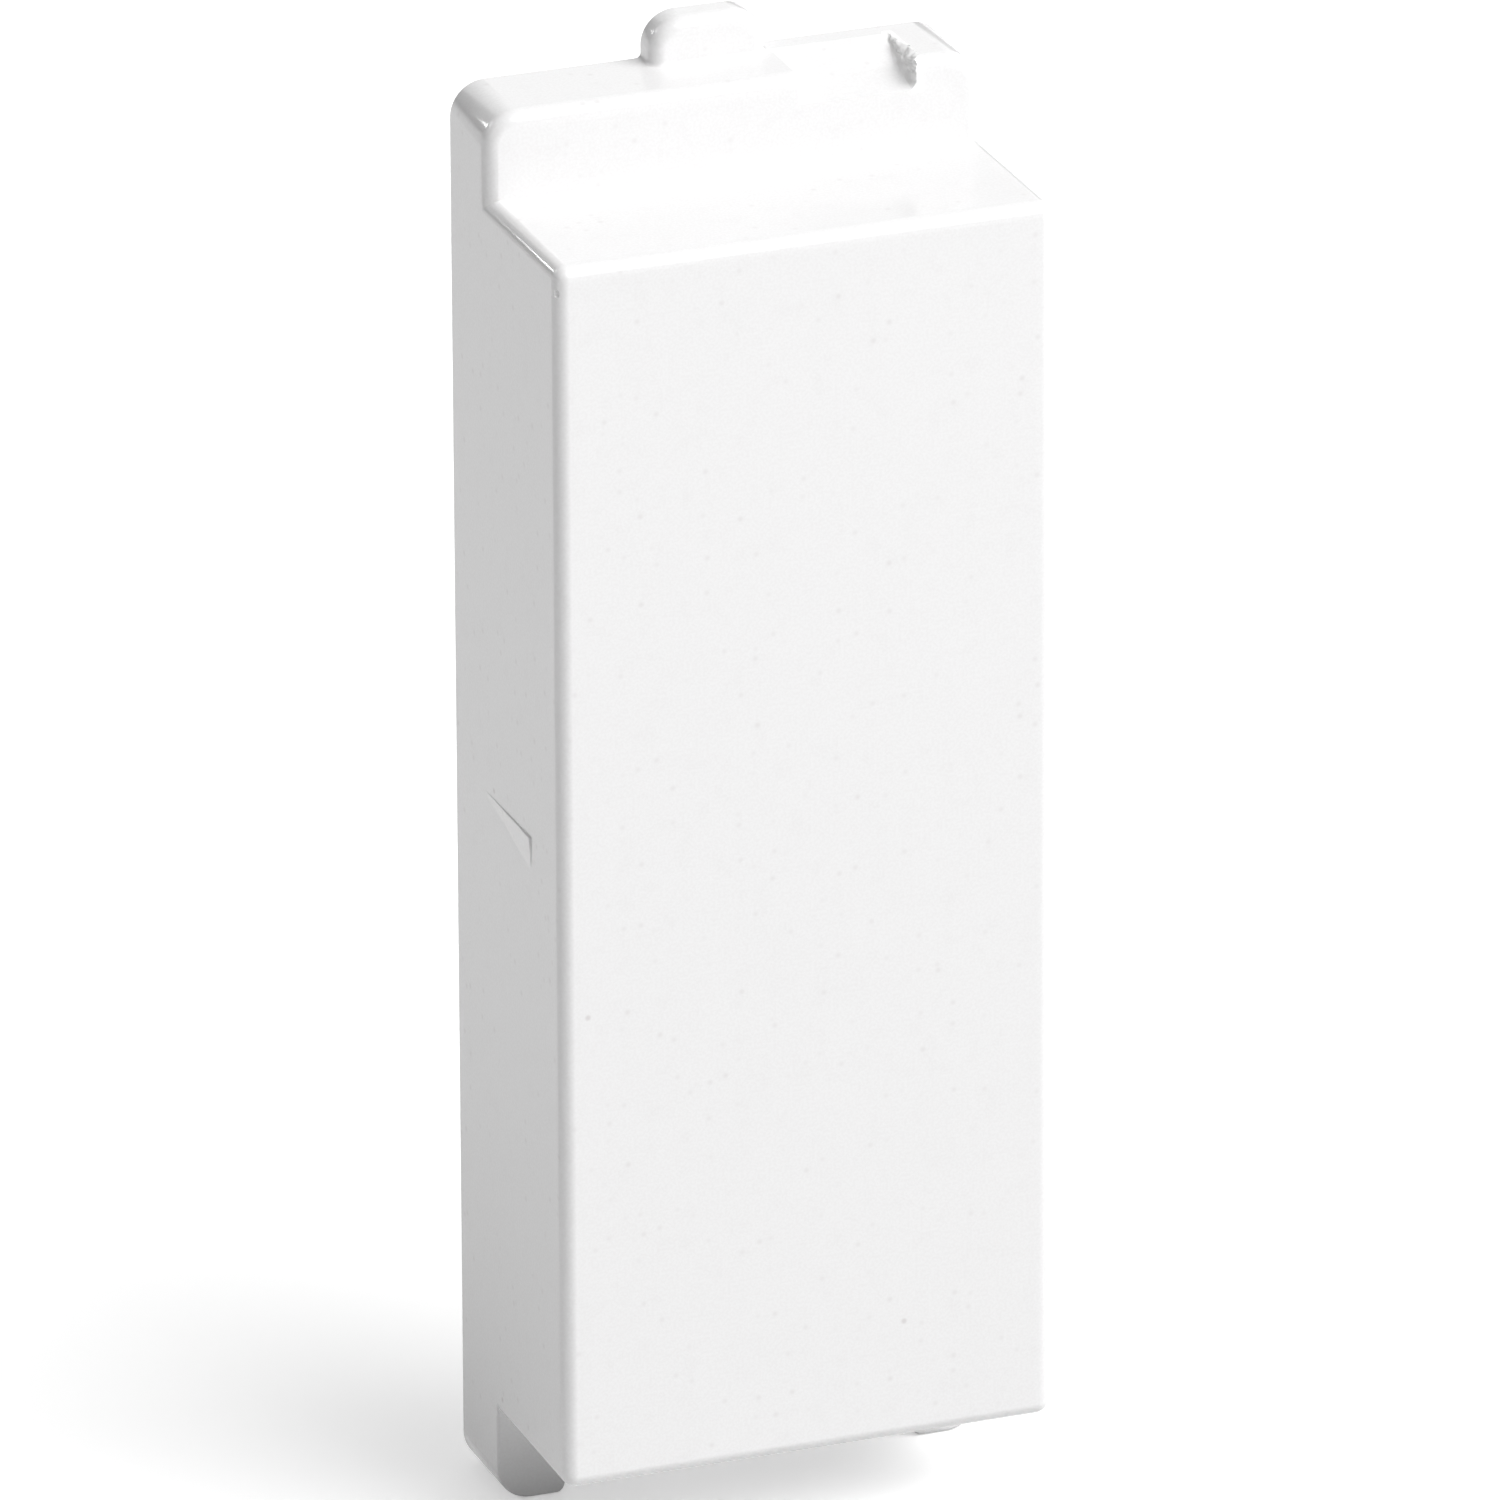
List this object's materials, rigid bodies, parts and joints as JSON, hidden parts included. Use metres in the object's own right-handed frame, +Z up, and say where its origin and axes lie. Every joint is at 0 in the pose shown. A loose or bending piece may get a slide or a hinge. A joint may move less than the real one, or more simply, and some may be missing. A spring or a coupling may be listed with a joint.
{
  "type": "blank cover plate",
  "caption": "Snap-in blank for an unused module way of a distribution board: a hollow moulded cap, open at the back, with a top flange and tab, lower feet and side snap wedges.",
  "frame": {"origin": "On the flange's front face, which bears on the back of the panel, midway across the plate and midway up the flat part of that face.", "axes": "+Z runs up along the plate's length, +Y points into the board, and +X is to the right as the plate is seen from the front."},
  "size_m": [0.0184, 0.0105, 0.053],
  "materials": {
    "white_plastic": "glossy moulded white"
  },
  "bodies": {
    "root": {"blank_cover": "white_plastic"}
  },
  "joints": []
}
